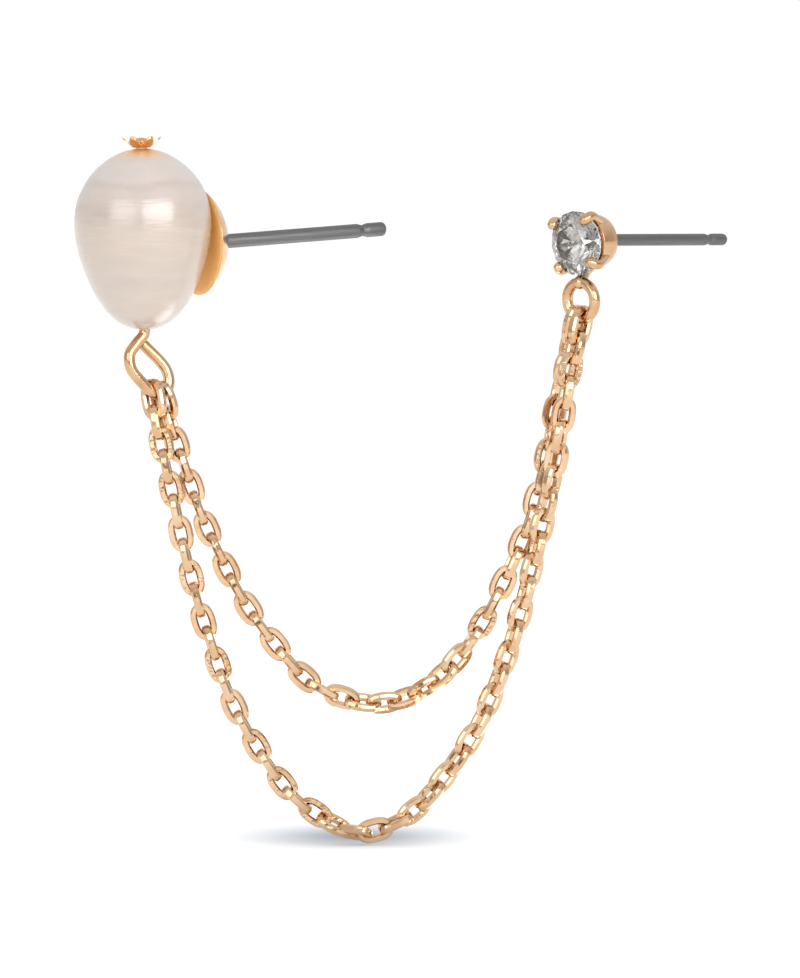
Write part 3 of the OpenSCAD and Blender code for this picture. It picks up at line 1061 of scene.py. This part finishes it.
# %% Crystal setting
HEAD_LIFT = 3
CLAW_SKEW = -8
STONE_R = 2
CROWN_H = 0.6
PAVILION_H = 1.72
GIRDLE_H = 0.12
TABLE_R = 0.56 * STONE_R
STONE_GAP = 0.03


def stone_room_points():
    """The crystal's outline turned about its axis, a little larger all round."""
    half = GIRDLE_H / 2 + STONE_GAP
    r = STONE_R + STONE_GAP
    top = -half - CROWN_H
    profile = [[0, top], [TABLE_R, top], [r, -half], [r, half], [0, half + PAVILION_H]]
    points, faces = turned(profile, sides=96)
    return points - [0, 0, HEAD_DEPTH], faces


def head_shape(name, made):
    """A shape of the crystal's head, laid on the head's axis."""
    points, faces = made
    return shape(name, on_axis(points, CRYSTAL_SEAT, HEAD_TURN, HEAD_LIFT), faces)


setting = head_shape("claw_setting", turned(rounded(BASKET, EDGE), sides=120))
for quarter in range(4):
    claw = head_shape("claw", claw_points(45 + 90 * quarter + CLAW_SKEW))
    setting = worked(setting, claw, "UNION")
setting = worked(setting, head_shape("neck", neck_points()), "UNION")
setting = worked(setting, head_shape("ring", ring_points()), "UNION")
setting = worked(setting, head_shape("stone_room", stone_room_points()), "DIFFERENCE")
crystal_socket = socket(CRYSTAL_POST_D, CRYSTAL_SPIGOT_L, HEAD_TURN, -CRYSTAL_POST_DROP, CRYSTAL_SEAT)
setting = worked(setting, crystal_socket, "DIFFERENCE")
setting = finished(setting, rose_gold, "crystal_setting")

# %% [markdown]
# A round brilliant is cut by grinding flats, so it is simply the convex hull of its corners:
# the table's, the kites', the girdle's above and below, the mains' and the culet. The hull's
# triangles that lie in one plane are dissolved into one facet. The facets behind the girdle
# take the foil.

# %% Crystal
KITE_R = 0.76 * STONE_R
MAIN_R = 0.22 * STONE_R


def brilliant_corners():
    """Rings of corners with the table up. The kites' and mains' heights put each in the plane
    from the table's edge to the girdle, or from the girdle to the culet."""
    half = GIRDLE_H / 2
    flat = math.cos(math.radians(22.5))
    kite_z = half + CROWN_H * (STONE_R - KITE_R * flat) / (STONE_R - TABLE_R)
    main_z = -half - PAVILION_H * (1 - MAIN_R * flat / STONE_R)
    rings = [
        (8, TABLE_R, 0, half + CROWN_H),
        (8, KITE_R, 22.5, kite_z),
        (16, STONE_R, 0, half),
        (16, STONE_R, 0, -half),
        (8, MAIN_R, 22.5, main_z),
        (1, 0, 0, -half - PAVILION_H),
    ]
    corners = []
    for count, radius, first, height in rings:
        a = np.radians(first + 360 / count * np.arange(count))
        corners.append(np.stack([radius * np.cos(a), radius * np.sin(a), height + 0 * a], -1))
    return np.vstack(corners)


def hull(name, points):
    """The convex hull of some points, with one face for each plane."""
    mesh = bpy.data.meshes.new(name)
    mesh.from_pydata(points.tolist(), [], [])
    work = bmesh.new()
    work.from_mesh(mesh)
    bmesh.ops.convex_hull(work, input=work.verts)
    bmesh.ops.dissolve_limit(work, angle_limit=math.radians(0.5), verts=work.verts, edges=work.edges)
    bmesh.ops.recalc_face_normals(work, faces=work.faces)
    work.to_mesh(mesh)
    work.free()
    made = bpy.data.objects.new(name, mesh)
    bpy.context.scene.collection.objects.link(made)
    return made


upright = brilliant_corners() @ about_x(180).T @ about_z(CLAW_SKEW).T - [0, 0, HEAD_DEPTH]
crystal = hull("brilliant_crystal", on_axis(upright, CRYSTAL_SEAT, HEAD_TURN, HEAD_LIFT))
crystal = finished(crystal, lead_glass, "crystal", sharp=1)
axis_back = on_axis(np.array([[0, 0, 1.0]]), (0, 0, 0), HEAD_TURN, HEAD_LIFT)[0]
facing_back = vectors_of(crystal.data.polygons, "normal") @ axis_back
# A face is backed with foil when its normal leans more than this share backwards
BACKWARDS = 0.2
second_finish(crystal, foil, facing_back > BACKWARDS)

# %% [markdown]
# Both chains are cable chain: oval links of wire, each turned a quarter turn from the last. The
# wire was pressed a little square, and its flats catch the light in small glints. A link is a
# grid: an oval path, and a squared section carried round it. Its path is a superellipse, which
# has straighter sides than an ellipse.

# %% One link
LINK_L = 2.33
LINK_W = 1.52
LINK_WIRE = 0.45
LINK_DEPTH = 0.54
END_LINK_L = 2.62
END_LINK_W = 1.82


def superellipse(a, width, height, power):
    """x = width |cos a|^(2/power), y = height |sin a|^(2/power), each with its own sign."""
    c, s = np.cos(a), np.sin(a)
    x = width * np.sign(c) * np.abs(c) ** (2 / power)
    y = height * np.sign(s) * np.abs(s) ** (2 / power)
    return np.stack([x, y], -1)


def link_points(length, width, along=48, around=8):
    """Path in the XY plane, long way along X. At each place the section runs outwards by
    LINK_WIRE / 2 and up by LINK_DEPTH / 2, as eight points of a superellipse of power 2.8."""
    a = np.linspace(0, 2 * np.pi, along, endpoint=False)
    path = superellipse(a, (length - LINK_WIRE) / 2, (width - LINK_WIRE) / 2, 2.5)
    ahead = unit(np.roll(path, -1, 0) - np.roll(path, 1, 0))
    outward = np.stack([ahead[:, 1], -ahead[:, 0]], -1)
    b = np.linspace(0, 2 * np.pi, around, endpoint=False) + np.pi / around
    section = superellipse(b, LINK_WIRE / 2, LINK_DEPTH / 2, 2.8)
    flat = path[:, None] + section[None, :, :1] * outward[:, None]
    tall = np.broadcast_to(section[None, :, 1:], flat.shape[:2] + (1,))
    return np.concatenate([flat, tall], -1).reshape(-1, 3), grid_faces(along, around, rows_close=True)


print("a link has", len(link_points(LINK_L, LINK_W)[1]), "faces")

# %% [markdown]
# A chain is its route and its twist. The routes are those of the CAD model's chains, from the
# pearl's eye to the crystal's ring, and the same smooth curve as the eye pin's runs through them.
# Only near the ends do they differ, by less than half a millimetre, because a CAD chain stops
# short of the wire and a real link hooks it. A chain could be hung by simulation, but the
# photograph shows just where these two hang.

# %% Routes of the chains
UPPER_ROUTE = [
    (-3.5, -2.17, -9.78),
    (-2.8, -1.98, -12.1),
    (-1.9, -1.86, -14.8),
    (-0.9, -1.8, -17.5),
    (1.6, -1.7, -22.4),
    (5, -1.5, -26.7),
    (7.2, -1.4, -28),
    (9.4, -1.3, -28.5),
    (11.8, -1.2, -28),
    (13.8, -1.1, -26.6),
    (16.1, -1, -23.6),
    (18.4, -0.9, -18.9),
    (19.4, -0.8, -16),
    (20.1, -0.8, -13.2),
    (20.6, -0.55, -10.5),
    (21.26, -0.55, -7.8),
    (21.79, -1.03, -5.13),
]
LOWER_ROUTE = [
    (-4.13, -2.59, -9.65),
    (-3.63, -2.96, -12.5),
    (-3, -3.1, -15.3),
    (-2.1, -3, -19.4),
    (-1, -2.9, -23.5),
    (1, -2.8, -28.9),
    (4, -2.7, -33.6),
    (6.2, -2.6, -35.4),
    (8.2, -2.5, -36.4),
    (9.9, -2.4, -36.1),
    (12.2, -2.3, -34.8),
    (15.5, -2.1, -30.5),
    (17.7, -2, -25.4),
    (19.2, -1.9, -20.1),
    (20.5, -1.9, -14.4),
    (21.15, -2.28, -10.5),
    (21.56, -2.25, -7.85),
    (22.19, -1.74, -5.15),
]
print("the routes have", len(UPPER_ROUTE), "and", len(LOWER_ROUTE), "points")

# %% [markdown]
# Links are face on and edge on in turns. A hanging chain also twists slowly, and where it loops
# an eye or a ring it takes that wire's direction, so each chain has a short table of twist along
# its links. Where both chains share the eye and the ring, the twists and the depths of the routes
# let their links pass each other.

# %% Twist of the chains
# Link number, and degrees past its turn of face on or edge on
UPPER_TWIST = [
    (0, 38),
    (1, 14),
    (2, 0),
    (15, 0),
    (18, 40),
    (21, 40),
    (24, 0),
    (28, 8),
    (32, 4),
    (34, 14),
    (36, 29),
    (37, 46),
    (38, 49),
]
LOWER_TWIST = [
    (0, 40),
    (1, 15),
    (3, 0),
    (20, 0),
    (23, 90),
    (26, 118),
    (39, 118),
    (44, 180),
    (46, 202),
    (47, 215),
    (48, 229),
]
print("the tables of twist have", len(UPPER_TWIST), "and", len(LOWER_TWIST), "lines")

# %% [markdown]
# Links stand along the route at equal steps, a little closer at the foot of a swag, and each
# one's long side follows the route. Small random turns keep a chain from looking machined. All
# the links are one array: one link's points, turned by each link's axes and moved to its centre.

# %% Chains
# From one link's centre to the next, in mm along the route
PITCH = 1.39
# Largest random turn of a link, in degrees
SWAY = 7
# At the foot of a swag the links hang slack. The lowest ones stand closer by this share, and
# about a third of it is left this far above them
SLACK = 0.05
SLACK_HEIGHT = 2.5


def chain_frames(route, twist, seed):
    """Centres and axes of a chain's links. Steps along the curve, a little shorter near its
    lowest point, give the centres, and the chord between neighbours the long way. Facing is what
    is left of the viewer's direction square to that, and the link's flat normal is
    cos roll facing + sin roll (long x facing)."""
    curve = smooth_route(route, 40)
    height = curve[1:, 2] - curve[:, 2].min()
    closer = 1 - SLACK * np.exp(-height / SLACK_HEIGHT)
    steps = np.linalg.norm(np.diff(curve, axis=0), axis=1)
    run = np.concatenate([[0], np.cumsum(steps / closer)])
    count = 2 * round(run[-1] / PITCH / 2) + 1
    stations = np.linspace(0, run[-1], count)
    centre = np.stack([np.interp(stations, run, curve[:, i]) for i in range(3)], -1)
    long = unit(np.gradient(centre, axis=0))
    viewer = np.array([0.0, -1.0, 0.0])
    facing = unit(viewer - (long @ viewer)[:, None] * long)
    edge = np.cross(long, facing)
    number = np.arange(count)
    sway = np.random.default_rng(seed).uniform(-SWAY, SWAY, count)
    sway[[0, 1, -2, -1]] = 0
    links, turns = np.array(twist, float).T
    links = links * (count - 1) / links[-1]
    roll = np.radians(90 * (number % 2) + np.interp(number, links, turns) + sway)[:, None]
    normal = np.cos(roll) * facing + np.sin(roll) * edge
    wide = np.cross(normal, long)
    print("a route of", round(steps.sum(), 1), "mm takes", count, "links")
    return centre, np.stack([long, wide, normal], 1)


def chain(name, route, twist, seed):
    """All of a chain's links in one mesh: each point is centre + x long + y wide + z normal."""
    centre, axes = chain_frames(route, twist, seed)
    middle, faces = link_points(LINK_L, LINK_W)
    end, _ = link_points(END_LINK_L, END_LINK_W)
    links = np.repeat(middle[None], len(centre), 0)
    links[[0, -1]] = end
    points = np.einsum("kpi,kij->kpj", links, axes) + centre[:, None]
    steps = np.arange(len(centre))[:, None, None] * len(middle)
    return shape(name, points.reshape(-1, 3), (faces[None] + steps).reshape(-1, 4))


upper = chain("upper_chain_links", UPPER_ROUTE, UPPER_TWIST, seed=4)
lower = chain("lower_chain_links", LOWER_ROUTE, LOWER_TWIST, seed=9)
upper = finished(upper, chain_gold, "upper_chain", sharp=32)
lower = finished(lower, chain_gold, "lower_chain", sharp=32)

# %% [markdown]
# The photograph's ground is pure white, even in the distance, which no lamp in front can do. It
# is a light table: a sheet of milk-white acrylic lit from below. It stands just under the lowest
# link, and it also brightens the pearl's lower end and the undersides of the posts, as in the
# photograph.


# %% Light table
# The soft shade under the lowest link: an oval's middle and half sizes in mm, and its tones from
# the edge inwards
SHADE_AT = (8.3, 5.0)
SHADE_HALF = (12.0, 18.0)
SHADE_TONES = [
    (0.0, "#ffffff"),
    (0.25, "#fafbfc"),
    (0.5, "#dfe2e6"),
    (0.75, "#b9bec4"),
    (0.95, "#989ea7"),
]


def make_light_table():
    """Matt white acrylic that glows evenly, with a trace of tone over 40 mm. The photograph's
    shadow is darker than so fine a chain casts in soft light, so the sheet is shaded there:
    shade = tone of 1 - |(place - middle) / half size|."""
    values = {"Roughness": 0.95, "Specular IOR Level": 0.1, "Emission Strength": 0.26}
    material, tree, shader, at = new_material("milk_white_acrylic", values)
    drift = add(tree, "ShaderNodeTexNoise", {"Vector": at, "Scale": 0.025, "Detail": 1.0})
    tones = [(0.3, "#f3f3f3"), (0.7, "#f5f5f5")]
    tone = add(tree, "ShaderNodeValToRGB", {"Fac": drift.outputs["Fac"]}, stops=tones)
    middle_x, middle_y = SHADE_AT
    half_x, half_y = SHADE_HALF
    place = (-middle_x / half_x, -middle_y / half_y, 0.0)
    oval = add(
        tree,
        "ShaderNodeMapping",
        {"Vector": at, "Location": place, "Scale": (1 / half_x, 1 / half_y, 0.0)},
    )
    inwards = add(
        tree, "ShaderNodeTexGradient", {"Vector": oval.outputs["Vector"]}, gradient_type="SPHERICAL"
    )
    shade = add(tree, "ShaderNodeValToRGB", {"Fac": inwards.outputs["Fac"]}, stops=SHADE_TONES)
    layers = {"Factor": 1.0, "A": tone.outputs["Color"], "B": shade.outputs["Color"]}
    shaded = add(tree, "ShaderNodeMix", layers, data_type="RGBA", blend_type="MULTIPLY")
    tree.links.new(shaded.outputs["Result"], shader.inputs["Base Color"])
    tree.links.new(shaded.outputs["Result"], shader.inputs["Emission Color"])
    return material


# Half the sheet's side in metres, and its gap under the lowest link
FLOOR_HALF = 8.0
FLOOR_GAP = 0.05 * MM
floor_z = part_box("lower_chain")[0].z - FLOOR_GAP
corners = FLOOR_HALF * np.array([[-1, -1, 0], [1, -1, 0], [1, 1, 0], [-1, 1, 0]])
floor_mesh = bpy.data.meshes.new("floor")
floor_mesh.from_pydata((corners + [0, 0, floor_z]).tolist(), [], [(0, 1, 2, 3)])
floor_mesh.materials.append(make_light_table())
floor = bpy.data.objects.new("floor", floor_mesh)
bpy.context.scene.collection.objects.link(floor)
print("the floor lies at", round(floor_z / MM, 2), "mm")

# %% [markdown]
# Polished metal and nacre show the room, so the lights are the picture. Two soft boxes stand to
# the right and left of the camera, the right one brighter, and the pearl mirrors them as two soft
# panes that almost meet. Each is placed where the photograph's highlights say it stood: degrees
# round from the camera, and degrees up.


# %% Soft boxes
def area_lamp(name, outline, sides, watts, place, aim):
    """A flat lamp with its two sides in metres, at a place, that shines along an aim. The camera
    doesn't see the lamp itself."""
    light = bpy.data.lights.new(name, "AREA")
    light.shape = outline
    light.size, light.size_y = sides
    light.energy = watts
    lamp = bpy.data.objects.new(name, light)
    bpy.context.scene.collection.objects.link(lamp)
    lamp.location = place
    lamp.rotation_euler = Vector(aim).to_track_quat("-Z", "Y").to_euler()
    lamp.visible_camera = False


def towards(azimuth, elevation):
    """The direction (sin a cos e, -cos a cos e, sin e) of an angle round and an angle up."""
    a, e = math.radians(azimuth), math.radians(elevation)
    return np.array([math.sin(a) * math.cos(e), -math.cos(a) * math.cos(e), math.sin(e)])


# Name, degrees round and up, width and height in metres, and watts
SOFT_BOXES = [
    ("soft_box_right", 26, 19, 0.58, 0.3, 2.05),
    ("soft_box_left", -34, 17, 0.48, 0.28, 0.85),
]
BOX_DISTANCE = 0.6
middle = (np.array(cad_box[0]) + np.array(cad_box[1])) / 2
for name, azimuth, elevation, width, height, watts in SOFT_BOXES:
    away = towards(azimuth, elevation)
    place = middle + BOX_DISTANCE * away
    area_lamp(name, "RECTANGLE", (width, height), watts, place, -away)
print("the soft boxes stand", BOX_DISTANCE, "m away")

# %% [markdown]
# Low on its right side the pearl shows one more, fainter glow, which comes from below and from
# behind. A weak round lamp that lies on the light table makes it.

# %% Lamp on the light table
TABLE_LAMP_W = 26 * MM
TABLE_LAMP_WATTS = 0.0026
TABLE_LAMP_AT = (17 * MM, 11 * MM, floor_z + 0.1 * MM)
wide = (TABLE_LAMP_W, TABLE_LAMP_W)
area_lamp("table_lamp", "DISK", wide, TABLE_LAMP_WATTS, TABLE_LAMP_AT, (0, 0, 1))
print("the scene has", len(bpy.data.lights), "lamps")

# %% [markdown]
# The rest of the room is pale: brightest overhead, darker on the camera's side, and darkest just
# round the camera, which the posts and the crystal mirror. Metal needs that difference to look
# like metal. The camera itself sees plain white behind everything.

# %% Room
world = bpy.data.worlds.new("studio_room")
bpy.context.scene.world = world
world.use_nodes = True
room = world.node_tree
room.nodes.clear()
direction = add(room, "ShaderNodeTexCoord")
split = add(room, "ShaderNodeSeparateXYZ", {"Vector": direction.outputs["Generated"]})
behind = add(
    room, "ShaderNodeMapRange", {"Value": split.outputs["Y"], "From Min": -1.0, "From Max": 0.4}
)
# Tones of the walls from round the camera to behind the earring
WALLS = [
    (0.0, "#6c6c6c"),
    (0.03, "#707070"),
    (0.07, "#969696"),
    (0.45, "#b8b8b8"),
    (1.0, "#e6e6e6"),
]
level = add(room, "ShaderNodeValToRGB", {"Fac": behind.outputs["Result"]}, stops=WALLS)
overhead = add(
    room, "ShaderNodeMapRange", {"Value": split.outputs["Z"], "From Min": 0.2, "From Max": 0.9}
)
white = colour("#ffffff")
tones = {"Factor": overhead.outputs["Result"], "A": level.outputs["Color"], "B": white}
tone = add(room, "ShaderNodeMix", tones, data_type="RGBA")
seen = add(room, "ShaderNodeLightPath")
tones = {"Factor": seen.outputs["Is Camera Ray"], "A": tone.outputs["Result"], "B": white}
pale = add(room, "ShaderNodeMix", tones, data_type="RGBA")
glow = add(room, "ShaderNodeBackground", {"Color": pale.outputs["Result"], "Strength": 1.0})
add(room, "ShaderNodeOutputWorld", {"Surface": glow.outputs["Background"]})
print("the room is lit by", world.name)

# %% [markdown]
# The photograph looks along +Y from three degrees above, with a long lens that shows almost no
# perspective. The camera stands a metre away, and its lens is worked out from how much of the
# scene the picture's height should hold.

# %% Camera
DISTANCE = 1.0
ELEVATION = 3
PICTURE_H = 60.4 * MM
SENSOR = 36
target = np.array([11.05, -1.0, -15.25]) * MM
lens = bpy.data.cameras.new("camera")
lens.sensor_width = SENSOR
lens.lens = SENSOR * DISTANCE / PICTURE_H
lens.dof.use_dof = False
camera = bpy.data.objects.new("camera", lens)
bpy.context.scene.collection.objects.link(camera)
rise = math.radians(ELEVATION)
camera.location = target + DISTANCE * np.array([0, -math.cos(rise), math.sin(rise)])
camera.rotation_euler = (math.pi / 2 - rise, 0, 0)
lens.clip_start = 0.01
lens.clip_end = 50
bpy.context.scene.camera = camera
bpy.context.scene.view_settings.view_transform = "Standard"
print("the lens is", round(lens.lens), "mm")
